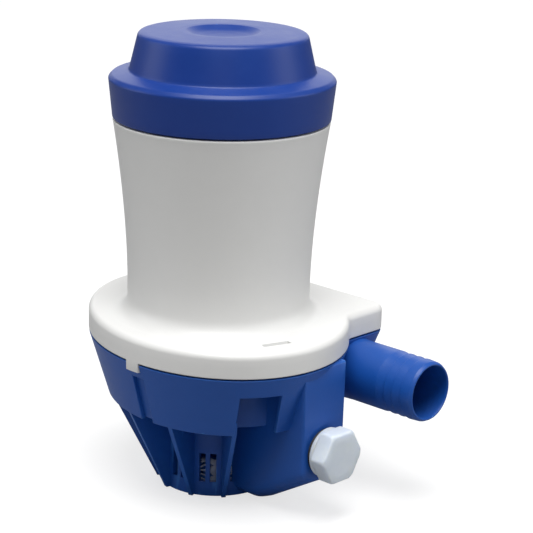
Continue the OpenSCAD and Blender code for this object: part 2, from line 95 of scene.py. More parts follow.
def set_studio():
    """Overhead soft box, white cards behind and beside, a weak fill in front, and a pale room."""
    soft_box("overhead", (0.28, -0.28, 1.65), (0.0, 0.0, 0.1), 1.0, 1.0, 32.0, (1.0, 0.997, 0.985))
    soft_box("back_card", (-1.3, 1.35, 0.8), (0.0, 0.0, 0.12), 2.0, 1.2, 9.0)
    soft_box("left_card", (-1.1, -0.9, 0.6), (0.0, 0.0, 0.1), 0.8, 1.0, 4.2, (0.97, 0.985, 1.0))
    soft_box("right_card", (1.1, 0.9, 0.6), (0.0, 0.0, 0.1), 0.8, 1.0, 5.4, (0.98, 0.99, 1.0))
    soft_box("front_fill", (1.1, -1.15, 0.9), (0.0, 0.0, 0.1), 0.9, 0.9, 1.6)
    world = bpy.data.worlds.new("room")
    bpy.context.scene.world = world
    world.use_nodes = True
    tree = world.node_tree
    back = tree.nodes["Background"]
    back.inputs["Color"].default_value = (1.0, 1.0, 1.0, 1.0)
    path = tree.nodes.new("ShaderNodeLightPath")
    power = tree.nodes.new("ShaderNodeMapRange")
    power.inputs["To Min"].default_value = 0.2
    power.inputs["To Max"].default_value = 1.0
    tree.links.new(path.outputs["Is Camera Ray"], power.inputs["Value"])
    tree.links.new(power.outputs["Result"], back.inputs["Strength"])
    view = bpy.context.scene.view_settings
    view.view_transform = "Standard"
    view.look = "None"
    view.exposure = 0.0
    view.gamma = 1.0


def lay_floor():
    """Flat pale floor, a disc of radius 6 m."""
    ring = np.linspace(0.0, 2.0 * math.pi, 96, endpoint=False)
    rim = np.stack([6.0 * np.cos(ring), 6.0 * np.sin(ring), np.full_like(ring, -0.0003)], axis=1)
    mesh = bpy.data.meshes.new("floor")
    mesh.from_pydata(rim.tolist(), [], [list(range(len(rim)))])
    floor = bpy.data.objects.new("floor", mesh)
    bpy.context.scene.collection.objects.link(floor)
    paint = bpy.data.materials.new("pale_floor")
    paint.use_nodes = True
    tree = paint.node_tree
    shader = tree.nodes["Principled BSDF"]
    place = tree.nodes.new("ShaderNodeTexCoord")
    cloud = tree.nodes.new("ShaderNodeTexNoise")
    cloud.inputs["Scale"].default_value = 3.0
    tone = tree.nodes.new("ShaderNodeMapRange")
    tone.inputs["To Min"].default_value = 0.30
    tone.inputs["To Max"].default_value = 0.33
    tree.links.new(place.outputs["Object"], cloud.inputs["Vector"])
    tree.links.new(cloud.outputs["Fac"], tone.inputs["Value"])
    path = tree.nodes.new("ShaderNodeLightPath")
    seen = tree.nodes.new("ShaderNodeMapRange")
    seen.inputs["To Min"].default_value = 1.0
    seen.inputs["To Max"].default_value = 1.0
    shade = tree.nodes.new("ShaderNodeMath")
    shade.operation = "MULTIPLY"
    tree.links.new(path.outputs["Is Camera Ray"], seen.inputs["Value"])
    tree.links.new(tone.outputs["Result"], shade.inputs[0])
    tree.links.new(seen.outputs["Result"], shade.inputs[1])
    tree.links.new(shade.outputs[0], shader.inputs["Base Color"])
    shader.inputs["Roughness"].default_value = 0.7
    shader.inputs["Specular IOR Level"].default_value = 0.2
    shader.inputs["Emission Color"].default_value = (1.0, 1.0, 1.0, 1.0)
    glow = tree.nodes.new("ShaderNodeMath")
    glow.operation = "MULTIPLY"
    glow.inputs[1].default_value = 0.7
    tree.links.new(path.outputs["Is Camera Ray"], glow.inputs[0])
    tree.links.new(glow.outputs[0], shader.inputs["Emission Strength"])
    mesh.materials.append(paint)


set_camera()
set_studio()
lay_floor()


# ---------------------------------------------------------------- shader helpers

def put(tree, kind, feeds=None, **settings):
    """Adds a node, with its settings, and feeds its sockets from values or other sockets."""
    node = tree.nodes.new(kind)
    for key, value in settings.items():
        setattr(node, key, value)
    for key, value in (feeds or {}).items():
        socket = node.inputs[key]
        if isinstance(value, bpy.types.NodeSocket):
            tree.links.new(value, socket)
        else:
            socket.default_value = value
    return node


def new_group(name, takes, gives):
    """Empty shader node group with named inputs (name, socket kind, default) and outputs."""
    group = bpy.data.node_groups.new(name, "ShaderNodeTree")
    for label, kind, value in takes:
        socket = group.interface.new_socket(name=label, in_out="INPUT", socket_type=kind)
        if value is not None:
            socket.default_value = value
    for label, kind in gives:
        group.interface.new_socket(name=label, in_out="OUTPUT", socket_type=kind)
    return group, group.nodes.new("NodeGroupInput"), group.nodes.new("NodeGroupOutput")


FLOAT, COLOUR, VECTOR = "NodeSocketFloat", "NodeSocketColor", "NodeSocketVector"


def math_node(tree, operation, first, second=0.0, clamp=False):
    """One arithmetic node on two values or sockets."""
    return put(tree, "ShaderNodeMath", {0: first, 1: second},
               operation=operation, use_clamp=clamp).outputs[0]


def blend_colours(tree, amount, first, second, mode="MIX"):
    """Mixes two colours by an amount."""
    node = tree.nodes.new("ShaderNodeMix")
    node.data_type = "RGBA"
    node.blend_type = mode
    for key, value in ((0, amount), (6, first), (7, second)):
        if isinstance(value, bpy.types.NodeSocket):
            tree.links.new(value, node.inputs[key])
        else:
            node.inputs[key].default_value = value
    return node.outputs[2]


def build_mould_grain():
    """Fine spark-eroded mould texture: two sizes of noise and a sparse pitting."""
    group, given, result = new_group(
        "mould_grain", [("Vector", VECTOR, None), ("Fineness", FLOAT, 2600.0), ("Pits", FLOAT, 0.3)],
        [("Height", FLOAT), ("Pit Mask", FLOAT)])
    fine = put(group, "ShaderNodeTexNoise", {"Vector": given.outputs["Vector"],
               "Scale": given.outputs["Fineness"], "Detail": 3.0, "Roughness": 0.6})
    half = math_node(group, "MULTIPLY", given.outputs["Fineness"], 0.31)
    broad = put(group, "ShaderNodeTexNoise", {"Vector": given.outputs["Vector"], "Scale": half,
                "Detail": 2.0})
    cells = put(group, "ShaderNodeTexVoronoi", {"Vector": given.outputs["Vector"], "Scale": half})
    pits = put(group, "ShaderNodeMapRange", {"Value": cells.outputs["Distance"], "From Min": 0.05,
               "From Max": 0.22, "To Min": 1.0, "To Max": 0.0})
    deep = math_node(group, "MULTIPLY", pits.outputs[0], given.outputs["Pits"])
    both = math_node(group, "ADD", fine.outputs["Fac"], broad.outputs["Fac"])
    height = math_node(group, "SUBTRACT", both, deep)
    group.links.new(height, result.inputs["Height"])
    group.links.new(deep, result.inputs["Pit Mask"])
    return group


def build_tone_drift():
    """Slow drift of a moulding's colour and gloss: flow streaks and cloudy patches."""
    group, given, result = new_group(
        "tone_drift",
        [("Vector", VECTOR, None), ("Color", COLOUR, (0.5, 0.5, 0.5, 1.0)), ("Light", COLOUR, None),
         ("Size", FLOAT, 14.0), ("Amount", FLOAT, 0.3), ("Rough", FLOAT, 0.5),
         ("Rough Drift", FLOAT, 0.08)],
        [("Color", COLOUR), ("Roughness", FLOAT)])
    cloud = put(group, "ShaderNodeTexNoise", {"Vector": given.outputs["Vector"],
                "Scale": given.outputs["Size"], "Detail": 4.0, "Roughness": 0.55})
    small = math_node(group, "MULTIPLY", given.outputs["Size"], 9.0)
    fleck = put(group, "ShaderNodeTexNoise", {"Vector": given.outputs["Vector"], "Scale": small,
                "Detail": 5.0, "Roughness": 0.7})
    mixed = math_node(group, "ADD", math_node(group, "MULTIPLY", cloud.outputs["Fac"], 0.65),
                      math_node(group, "MULTIPLY", fleck.outputs["Fac"], 0.35))
    spread = put(group, "ShaderNodeMapRange", {"Value": mixed, "From Min": 0.33, "From Max": 0.67})
    share = math_node(group, "MULTIPLY", spread.outputs[0], given.outputs["Amount"])
    tone = blend_colours(group, share, given.outputs["Color"], given.outputs["Light"])
    lean = math_node(group, "SUBTRACT", spread.outputs[0], 0.5)
    gloss = math_node(group, "ADD", given.outputs["Rough"],
                      math_node(group, "MULTIPLY", lean, given.outputs["Rough Drift"]), clamp=True)
    group.links.new(tone, result.inputs["Color"])
    group.links.new(gloss, result.inputs["Roughness"])
    return group


def build_edge_wear_and_highlight():
    """Paler, polished convex edges and duller hollows, from the surface's own curvature: on convex
    edges, rubbing wear and a painted highlight.
    """
    group, given, result = new_group(
        "edge_wear_and_highlight",
        [("Vector", VECTOR, None), ("Color", COLOUR, None), ("Rub And Highlight", COLOUR, None),
         ("Amount", FLOAT, 0.5), ("Rough", FLOAT, 0.5)],
        [("Color", COLOUR), ("Roughness", FLOAT)])
    shape = put(group, "ShaderNodeNewGeometry")
    ridge = put(group, "ShaderNodeMapRange", {"Value": shape.outputs["Pointiness"],
                "From Min": 0.53, "From Max": 0.62})
    patch = put(group, "ShaderNodeTexNoise", {"Vector": given.outputs["Vector"], "Scale": 160.0,
                "Detail": 3.0})
    rubbed_and_highlit = put(group, "ShaderNodeMapRange", {"Value": patch.outputs["Fac"], "From Min": 0.3,
               "From Max": 0.7, "To Min": 0.45, "To Max": 1.0})
    # share of the paler edge colour on convex edges: rubbing wear and a painted highlight
    share = math_node(group, "MULTIPLY", math_node(group, "MULTIPLY", ridge.outputs[0],
                      rubbed_and_highlit.outputs[0]), given.outputs["Amount"], clamp=True)
    tone = blend_colours(group, share, given.outputs["Color"], given.outputs["Rub And Highlight"])
    polish = math_node(group, "SUBTRACT", given.outputs["Rough"],
                       math_node(group, "MULTIPLY", share, 0.12), clamp=True)
    group.links.new(tone, result.inputs["Color"])
    group.links.new(polish, result.inputs["Roughness"])
    return group


def build_dust_film():
    """Thin dust on faces that look up, broken by noise."""
    group, given, result = new_group(
        "dust_film",
        [("Vector", VECTOR, None), ("Color", COLOUR, None), ("Dust", COLOUR, (0.6, 0.6, 0.58, 1.0)),
         ("Amount", FLOAT, 0.1), ("Rough", FLOAT, 0.5)],
        [("Color", COLOUR), ("Roughness", FLOAT)])
    shape = put(group, "ShaderNodeNewGeometry")
    split = put(group, "ShaderNodeSeparateXYZ", {0: shape.outputs["Normal"]})
    upward = put(group, "ShaderNodeMapRange", {"Value": split.outputs[2], "From Min": 0.3,
                 "From Max": 0.95})
    cloud = put(group, "ShaderNodeTexNoise", {"Vector": given.outputs["Vector"], "Scale": 55.0,
                "Detail": 6.0, "Roughness": 0.7})
    patch = put(group, "ShaderNodeMapRange", {"Value": cloud.outputs["Fac"], "From Min": 0.35,
                "From Max": 0.75})
    share = math_node(group, "MULTIPLY", math_node(group, "MULTIPLY", upward.outputs[0],
                      patch.outputs[0]), given.outputs["Amount"], clamp=True)
    tone = blend_colours(group, share, given.outputs["Color"], given.outputs["Dust"])
    dull = math_node(group, "ADD", given.outputs["Rough"], math_node(group, "MULTIPLY", share, 0.3),
                     clamp=True)
    group.links.new(tone, result.inputs["Color"])
    group.links.new(dull, result.inputs["Roughness"])
    return group


def build_tool_marks():
    """Fine parallel marks along one direction, as turning or rolling leaves: stretched noise."""
    group, given, result = new_group(
        "tool_marks",
        [("Vector", VECTOR, None), ("Stretch", VECTOR, (300.0, 300.0, 6000.0)),
         ("Rough", FLOAT, 0.3), ("Spread", FLOAT, 0.15)],
        [("Height", FLOAT), ("Roughness", FLOAT), ("Mask", FLOAT)])
    pulled = put(group, "ShaderNodeVectorMath", {0: given.outputs["Vector"],
                 1: given.outputs["Stretch"]}, operation="MULTIPLY")
    lines = put(group, "ShaderNodeTexNoise", {"Vector": pulled.outputs[0], "Scale": 1.0,
                "Detail": 4.0, "Roughness": 0.65})
    blotch = put(group, "ShaderNodeTexNoise", {"Vector": given.outputs["Vector"], "Scale": 90.0,
                 "Detail": 4.0})
    lean = math_node(group, "SUBTRACT", math_node(group, "ADD", lines.outputs["Fac"],
                     blotch.outputs["Fac"]), 1.0)
    gloss = math_node(group, "ADD", given.outputs["Rough"],
                      math_node(group, "MULTIPLY", lean, given.outputs["Spread"]), clamp=True)
    group.links.new(lines.outputs["Fac"], result.inputs["Height"])
    group.links.new(gloss, result.inputs["Roughness"])
    group.links.new(blotch.outputs["Fac"], result.inputs["Mask"])
    return group


grain_group = build_mould_grain()
drift_group = build_tone_drift()
edge_wear_highlight_group = build_edge_wear_and_highlight()
dust_group = build_dust_film()
marks_group = build_tool_marks()


def use_group(tree, group, feeds):
    """Places a shared effect in a material with its own values."""
    node = tree.nodes.new("ShaderNodeGroup")
    node.node_tree = group
    for key, value in feeds.items():
        if isinstance(value, bpy.types.NodeSocket):
            tree.links.new(value, node.inputs[key])
        else:
            node.inputs[key].default_value = value
    return node


def start_material(name, **sockets):
    """New material: its tree, its shader, and the piece's own coordinates in metres."""
    paint = bpy.data.materials.new(name)
    paint.use_nodes = True
    tree = paint.node_tree
    shader = tree.nodes["Principled BSDF"]
    for label, value in sockets.items():
        shader.inputs[label.replace("_", " ")].default_value = value
    place = tree.nodes.new("ShaderNodeTexCoord").outputs["Object"]
    return paint, tree, shader, place


def rgba(red, green, blue):
    return (red, green, blue, 1.0)


def roughen(tree, shader, height, depth, strength):
    """Bump from a height, depth in metres."""
    bump = put(tree, "ShaderNodeBump", {"Height": height, "Distance": depth, "Strength": strength})
    tree.links.new(bump.outputs["Normal"], shader.inputs["Normal"])


def moulded(name, deep, light, rub_and_highlight, rough=0.42, drift=0.35, fineness=2600.0, depth=0.00003,
            strength=0.5, dust=0.06, level=0.5, edge=0.6):
    """Injection-moulded plastic: cloudy tone, eroded grain, paler edges from rubbing wear and a
    painted edge highlight, and a little dust.
    """
    paint, tree, shader, place = start_material(name, Specular_IOR_Level=level)
    tone = use_group(tree, drift_group, {"Vector": place, "Color": deep, "Light": light,
                     "Amount": drift, "Rough": rough, "Rough Drift": 0.1})
    # convex edges painted paler: rubbing wear and a painted edge highlight
    rubbed_and_highlit = use_group(tree, edge_wear_highlight_group, {"Vector": place, "Color": tone.outputs["Color"], "Rub And Highlight": rub_and_highlight,
                     "Amount": edge, "Rough": tone.outputs["Roughness"]})
    film = use_group(tree, dust_group, {"Vector": place, "Color": rubbed_and_highlit.outputs["Color"],
                     "Amount": dust, "Rough": rubbed_and_highlit.outputs["Roughness"]})
    tree.links.new(film.outputs["Color"], shader.inputs["Base Color"])
    tree.links.new(film.outputs["Roughness"], shader.inputs["Roughness"])
    grain = use_group(tree, grain_group, {"Vector": place, "Fineness": fineness})
    roughen(tree, shader, grain.outputs["Height"], depth, strength)
    return paint


def metal(name, deep, light, rough=0.3, spread=0.2, stretch=(300.0, 300.0, 6000.0),
          depth=0.00001, strength=0.35, coat=0.0):
    """Bare or plated metal with tool marks and a blotchy tone."""
    paint, tree, shader, place = start_material(name, Metallic=1.0, Coat_Weight=coat)
    marks = use_group(tree, marks_group, {"Vector": place, "Stretch": stretch, "Rough": rough,
                      "Spread": spread})
    tone = blend_colours(tree, marks.outputs["Mask"], deep, light)
    # convex edges painted paler: rubbing wear and a painted edge highlight
    rubbed_and_highlit = use_group(tree, edge_wear_highlight_group, {"Vector": place, "Color": tone, "Rub And Highlight": light, "Amount": 0.5,
                     "Rough": marks.outputs["Roughness"]})
    tree.links.new(rubbed_and_highlit.outputs["Color"], shader.inputs["Base Color"])
    tree.links.new(rubbed_and_highlit.outputs["Roughness"], shader.inputs["Roughness"])
    roughen(tree, shader, marks.outputs["Height"], depth, strength)
    return paint


def milky_plug():
    """Milky translucent nylon: light scatters inside, faint sink marks and a satin skin."""
    paint, tree, shader, place = start_material(
        "milky_nylon", IOR=1.5, Transmission_Weight=0.1, Subsurface_Weight=0.85,
        Subsurface_Scale=0.0015, Specular_IOR_Level=0.55)
    shader.inputs["Subsurface Radius"].default_value = (1.0, 1.05, 1.2)
    tone = use_group(tree, drift_group, {"Vector": place, "Color": rgba(0.70, 0.77, 0.87),
                     "Light": rgba(0.82, 0.88, 0.95), "Size": 60.0, "Amount": 0.8, "Rough": 0.3,
                     "Rough Drift": 0.12})
    # edges painted near white: mostly a painted highlight along the hex facets, with some rubbing
    # wear
    rubbed_and_highlit = use_group(tree, edge_wear_highlight_group, {"Vector": place, "Color": tone.outputs["Color"],
                     "Rub And Highlight": rgba(0.93, 0.95, 0.97), "Amount": 0.8,
                     "Rough": tone.outputs["Roughness"]})
    tree.links.new(rubbed_and_highlit.outputs["Color"], shader.inputs["Base Color"])
    tree.links.new(rubbed_and_highlit.outputs["Roughness"], shader.inputs["Roughness"])
    grain = use_group(tree, grain_group, {"Vector": place, "Fineness": 900.0, "Pits": 0.1})
    roughen(tree, shader, grain.outputs["Height"], 0.00004, 0.35)
    return paint


def wound_wire():
    """Enamelled copper turns: fine parallel wires under a warm varnish."""
    paint, tree, shader, place = start_material("enamelled_wire", Metallic=0.85, Coat_Weight=0.6,
                                                Coat_Roughness=0.15)
    turns = put(tree, "ShaderNodeTexWave", {"Vector": place, "Scale": 420.0, "Distortion": 1.4,
                "Detail": 2.0, "Detail Scale": 2.0}, wave_type="BANDS", bands_direction="DIAGONAL")
    # the copper hue is the wire's own; the dark bands between the turns are painted shade
    tone = blend_colours(tree, turns.outputs["Fac"], rgba(0.2, 0.06, 0.02), rgba(0.72, 0.27, 0.1))
    drift = use_group(tree, drift_group, {"Vector": place, "Color": tone, "Light": tone,
                      "Rough": 0.32, "Rough Drift": 0.2})
    tree.links.new(drift.outputs["Color"], shader.inputs["Base Color"])
    tree.links.new(drift.outputs["Roughness"], shader.inputs["Roughness"])
    roughen(tree, shader, turns.outputs["Fac"], 0.0003, 0.8)
    return paint


def stacked_steel():
    """Edges of stacked steel sheets: thin bands across the shaft, slightly rusty varnish."""
    paint, tree, shader, place = start_material("stacked_steel", Metallic=0.9)
    sheets = put(tree, "ShaderNodeTexWave", {"Vector": place, "Scale": 320.0, "Distortion": 0.4},
                 wave_type="BANDS", bands_direction="Z")
    tone = blend_colours(tree, sheets.outputs["Fac"], rgba(0.08, 0.075, 0.07),
                         rgba(0.36, 0.36, 0.37))
    drift = use_group(tree, drift_group, {"Vector": place, "Color": tone,
                      "Light": rgba(0.3, 0.2, 0.13), "Amount": 0.25, "Rough": 0.45,
                      "Rough Drift": 0.2})
    tree.links.new(drift.outputs["Color"], shader.inputs["Base Color"])
    tree.links.new(drift.outputs["Roughness"], shader.inputs["Roughness"])
    roughen(tree, shader, sheets.outputs["Fac"], 0.0001, 0.6)
    return paint


# Each moulding's third colour is its paler edge colour: rubbing wear and a painted edge highlight.
finishes = {
    "base_blue": moulded("base_blue_plastic", rgba(0.007, 0.074, 0.360), rgba(0.012, 0.108, 0.470),
                         rgba(0.05, 0.23, 0.66), rough=0.44, fineness=2100.0, depth=0.00005,
                         strength=0.7, dust=0.02, level=0.36),
    "cap_blue": moulded("cap_blue_plastic", rgba(0.004, 0.034, 0.230), rgba(0.008, 0.056, 0.310),
                        rgba(0.05, 0.2, 0.66), rough=0.40, fineness=3000.0, depth=0.00003,
                        strength=0.45, dust=0.02, level=0.36),
    "housing_white": moulded("housing_white_plastic", rgba(0.735, 0.735, 0.728),
                             rgba(0.795, 0.795, 0.788), rgba(0.88, 0.88, 0.87), rough=0.45,
                             fineness=3000.0, depth=0.00003, strength=0.4, dust=0.0, edge=0.4),
    "plug_clear": milky_plug(),
    "rubber_black": moulded("nitrile_rubber", rgba(0.012, 0.012, 0.013), rgba(0.03, 0.03, 0.032),
                            rgba(0.06, 0.06, 0.06), rough=0.6, depth=0.00004, dust=0.12,
                            level=0.35),
    "plastic_black": moulded("black_nylon", rgba(0.018, 0.018, 0.02), rgba(0.035, 0.035, 0.038),
                             rgba(0.09, 0.09, 0.09), rough=0.45, depth=0.00004, dust=0.08),
    "steel_zinc": metal("zinc_plated_steel", rgba(0.46, 0.47, 0.49), rgba(0.66, 0.66, 0.64),
                        rough=0.38, spread=0.25),
    "steel_bright": metal("stainless_steel", rgba(0.56, 0.57, 0.58), rgba(0.74, 0.74, 0.74),
                          rough=0.2, stretch=(250.0, 250.0, 9000.0)),
    "bronze": metal("sintered_bronze", rgba(0.42, 0.27, 0.12), rgba(0.66, 0.46, 0.23), rough=0.5,
                    stretch=(3000.0, 3000.0, 3000.0), depth=0.00005, strength=0.6),
    "ferrite": moulded("ferrite", rgba(0.03, 0.03, 0.033), rgba(0.075, 0.075, 0.08),
                       rgba(0.14, 0.14, 0.14), rough=0.62, fineness=1400.0, depth=0.00008,
                       strength=0.8, edge=0.9),
    "lamination": stacked_steel(),
    "copper_wire": wound_wire(),
    "copper_bar": metal("copper_bars", rgba(0.5, 0.2, 0.09), rgba(0.82, 0.42, 0.25), rough=0.22,
                        stretch=(300.0, 300.0, 9000.0)),
    "carbon": moulded("carbon_brush", rgba(0.02, 0.02, 0.021), rgba(0.06, 0.058, 0.056),
                      rgba(0.16, 0.16, 0.16), rough=0.55, fineness=1800.0, depth=0.00006,
                      strength=0.8),
    "brass_strip": metal("brass_strip", rgba(0.58, 0.4, 0.14), rgba(0.8, 0.6, 0.28), rough=0.3,
                         stretch=(9000.0, 300.0, 300.0)),
    "spring_steel": metal("spring_steel", rgba(0.3, 0.31, 0.33), rgba(0.55, 0.55, 0.56), rough=0.28),
    "impeller_grey": moulded("impeller_grey_plastic", rgba(0.16, 0.165, 0.17),
                             rgba(0.24, 0.245, 0.25), rgba(0.4, 0.4, 0.4), rough=0.42),
    "lead_red": moulded("lead_insulation", rgba(0.32, 0.02, 0.015), rgba(0.5, 0.045, 0.03),
                        rgba(0.6, 0.12, 0.08), rough=0.35, fineness=1500.0),
    "splice_blue": moulded("splice_sleeve", rgba(0.02, 0.07, 0.3), rgba(0.05, 0.16, 0.5),
                           rgba(0.2, 0.35, 0.7), rough=0.25, fineness=1200.0),
    "capacitor_coat": moulded("capacitor_dip", rgba(0.5, 0.2, 0.03), rgba(0.66, 0.32, 0.07),
                              rgba(0.8, 0.5, 0.2), rough=0.2, fineness=500.0, depth=0.0001),
}

for label, part in nodes.items():
    part.data.materials.clear()
    part.data.materials.append(finishes[slot_of[label]])


# ---------------------------------------------------------------- mesh helpers, in millimetres

def grid_faces(rows, cols, wrap_rows=False, wrap_cols=True):
    """Quads between neighbours of a rows x cols grid, joined end to end where it wraps."""
    i = np.arange(rows if wrap_rows else rows - 1)[:, None]
    j = np.arange(cols if wrap_cols else cols - 1)[None, :]
    below, beside = (i + 1) % rows, (j + 1) % cols
    corners = [i * cols + j, i * cols + beside, below * cols + beside, below * cols + j]
    return np.stack([np.broadcast_to(c, (i.size, j.size)).ravel() for c in corners], axis=1)


def shell(points, wrap_rows=False, wrap_cols=True):
    """A grid of points (rows, cols, 3) with its quads."""
    rows, cols = points.shape[:2]
    return points.reshape(-1, 3), grid_faces(rows, cols, wrap_rows, wrap_cols)


def piece(name, shells, body, slot_name, stands_for=(), crease=34.0, bevel=0.0, weld=0.002):
    """One named piece from closed shells: doubles merged, faces outwards, smooth but for creases."""
    starts = np.cumsum([0] + [len(points) for points, _ in shells])
    spots = np.concatenate([points for points, _ in shells]) * MM
    quads = np.concatenate([faces + start for (_, faces), start in zip(shells, starts)])
    mesh = bpy.data.meshes.new(name)
    mesh.from_pydata(spots.tolist(), [], quads.tolist())
    work = bmesh.new()
    work.from_mesh(mesh)
    bmesh.ops.remove_doubles(work, verts=work.verts, dist=weld * MM)
    bmesh.ops.dissolve_degenerate(work, edges=work.edges, dist=weld * MM * 0.5)
    bmesh.ops.recalc_face_normals(work, faces=work.faces)
    work.to_mesh(mesh)
    work.free()
    made = bpy.data.objects.new(name, mesh)
    bpy.context.scene.collection.objects.link(made)
    mesh.materials.append(finishes[slot_name])
    mesh.polygons.foreach_set("use_smooth", np.ones(len(mesh.polygons), dtype=bool))
    if bevel:
        rounding = made.modifiers.new("rounded_edges", "BEVEL")
        rounding.width = bevel * MM
        rounding.segments = 2
        rounding.limit_method = "ANGLE"
        rounding.angle_limit = math.radians(crease)
        rounding.harden_normals = True
    else:
        mesh.set_sharp_from_angle(angle=math.radians(crease))
    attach(made, body)
    if stands_for:
        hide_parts(*stands_for)
    return made


def drilled(made, cutter_shells):
    """Cuts closed shells out of a piece with a Boolean, applied to the mesh."""
    starts = np.cumsum([0] + [len(points) for points, _ in cutter_shells])
    spots = np.concatenate([points for points, _ in cutter_shells]) * MM
    quads = np.concatenate([f + start for (_, f), start in zip(cutter_shells, starts)])
    mesh = bpy.data.meshes.new("cutter")
    mesh.from_pydata(spots.tolist(), [], quads.tolist())
    work = bmesh.new()
    work.from_mesh(mesh)
    bmesh.ops.remove_doubles(work, verts=work.verts, dist=0.002 * MM)
    bmesh.ops.recalc_face_normals(work, faces=work.faces)
    work.to_mesh(mesh)
    work.free()
    tool = bpy.data.objects.new("cutter", mesh)
    bpy.context.scene.collection.objects.link(tool)
    kept = [(m.name, m.type) for m in made.modifiers]
    cut = made.modifiers.new("cut", "BOOLEAN")
    cut.operation = "DIFFERENCE"
    cut.solver = "EXACT"
    cut.object = tool
    hidden = [m for m in made.modifiers if m.type == "BEVEL"]
    for m in hidden:
        m.show_viewport = False
    bpy.context.view_layer.update()
    with_cut = bpy.context.evaluated_depsgraph_get()
    result = bpy.data.meshes.new_from_object(made.evaluated_get(with_cut))
    for m in hidden:
        m.show_viewport = True
    made.modifiers.remove(cut)
    old = made.data
    made.data = result
    result.name = made.name
    bpy.data.meshes.remove(old)
    bpy.data.objects.remove(tool)
    bpy.data.meshes.remove(mesh)
    if not hidden:
        result.set_sharp_from_angle(angle=math.radians(34.0))
    return made


def rounded(corners, closed=False, steps=4):
    """Profile through corners (a, b, radius): each corner is replaced by the arc that touches both
    of its sides, at the tangent length radius * tan(half the turn), shortened to fit."""
    spots = np.array([c[:2] for c in corners], dtype=float)
    count = len(spots)
    path = []
    for k in range(count):
        radius = corners[k][2] if len(corners[k]) > 2 else 0.0
        if radius <= 0 or (not closed and k in (0, count - 1)):
            path.append(spots[k][None])
            continue
        before, after = spots[k - 1], spots[(k + 1) % count]
        came, goes = spots[k] - before, after - spots[k]
        long_in, long_out = np.linalg.norm(came), np.linalg.norm(goes)
        came, goes = came / long_in, goes / long_out
        turn = math.acos(max(-1.0, min(1.0, float(came @ goes))))
        if turn < 0.02:
            path.append(spots[k][None])
            continue
        tangent = min(radius * math.tan(turn / 2), 0.48 * long_in, 0.48 * long_out)
        radius = tangent / math.tan(turn / 2)
        inward = (goes - came) / np.linalg.norm(goes - came)
        centre = spots[k] + inward * radius / math.cos(turn / 2)
        first = spots[k] - came * tangent - centre
        last = spots[k] + goes * tangent - centre
        share = np.linspace(0.0, 1.0, steps + 1)[:, None]
        arc = (first * np.sin(turn * (1 - share)) + last * np.sin(turn * share)) / math.sin(turn)
        path.append(centre + arc)
    return np.concatenate(path)


def stepped(path, longest, closed=False):
    """Profile with its long sides cut into equal steps no longer than a given length."""
    ends = np.roll(path, -1, axis=0) if closed else path[1:]
    pieces = []
    for start, end in zip(path, ends):
        count = max(1, int(math.ceil(np.linalg.norm(end - start) / longest)))
        pieces.append(start + (end - start) * (np.arange(count) / count)[:, None])
    if not closed:
        pieces.append(path[-1:])
    return np.concatenate(pieces)


def turned(profile, cols=160, centre=(0.0, 0.0)):
    """Surface of revolution: profile (radius, height) carried round a vertical axis."""
    round_ = np.linspace(0.0, 2.0 * math.pi, cols, endpoint=False)
    radius, height = profile[:, 0][:, None], profile[:, 1][:, None]
    return np.stack([centre[0] + radius * np.cos(round_), centre[1] + radius * np.sin(round_),
                     height + 0.0 * round_], axis=-1)


def turned_x(profile, cols, y, z):
    """Surface of revolution about a line along +X: profile (radius, x)."""
    round_ = np.linspace(0.0, 2.0 * math.pi, cols, endpoint=False)
    radius, x = profile[:, 0][:, None], profile[:, 1][:, None]
    return np.stack([x + 0.0 * round_, y + radius * np.cos(round_), z + radius * np.sin(round_)],
                    axis=-1)


def smooth(value, low, high):
    """0 below low, 1 above high, and 3t^2 - 2t^3 between, for arrays."""
    t = np.clip((value - low) / (high - low), 0.0, 1.0)
    return t * t * (3.0 - 2.0 * t)


def with_lines(count, extra):
    """Angles of a full turn in even steps, with extra lines and without close neighbours."""
    even = np.linspace(-math.pi, math.pi, count, endpoint=False)
    extra = np.array(sorted(extra))
    gap = np.abs(even[:, None] - extra[None, :]).min(axis=1)
    return np.sort(np.concatenate([even[gap > 0.35 * (2 * math.pi / count)], extra]))


# ---------------------------------------------------------------- outline shared by flange and base

OVAL_A, OVAL_B, OVAL_TURN, OVAL_X, OVAL_Y = 71.47, 59.18, math.radians(-22.0), -1.5, 1.5
EAR_X, EAR_Y, EAR_CORNER, EAR_ROOT = 49.0, 66.0, 8.0, (-24.0, 61.0)
SEAM_Z, FLANGE_LOW, FLANGE_TOP = 72.0, 72.5, 84.0
SKIRT_LOW, SKIRT_TAPER = 42.0, 0.845


def oval_reach(angle):
    """Distance from the pump's axis to the oval along an angle: the positive root of the
    quadratic for a ray meeting an ellipse whose centre is off the axis."""
    c, s = math.cos(OVAL_TURN), math.sin(OVAL_TURN)
    dx, dy = np.cos(angle), np.sin(angle)
    ux, uy = (dx * c + dy * s) / OVAL_A, (-dx * s + dy * c) / OVAL_B
    px, py = (-OVAL_X * c - OVAL_Y * s) / OVAL_A, (OVAL_X * s - OVAL_Y * c) / OVAL_B
    a, b, k = ux * ux + uy * uy, ux * px + uy * py, px * px + py * py - 1.0
    return (-b + np.sqrt(b * b - a * k)) / a


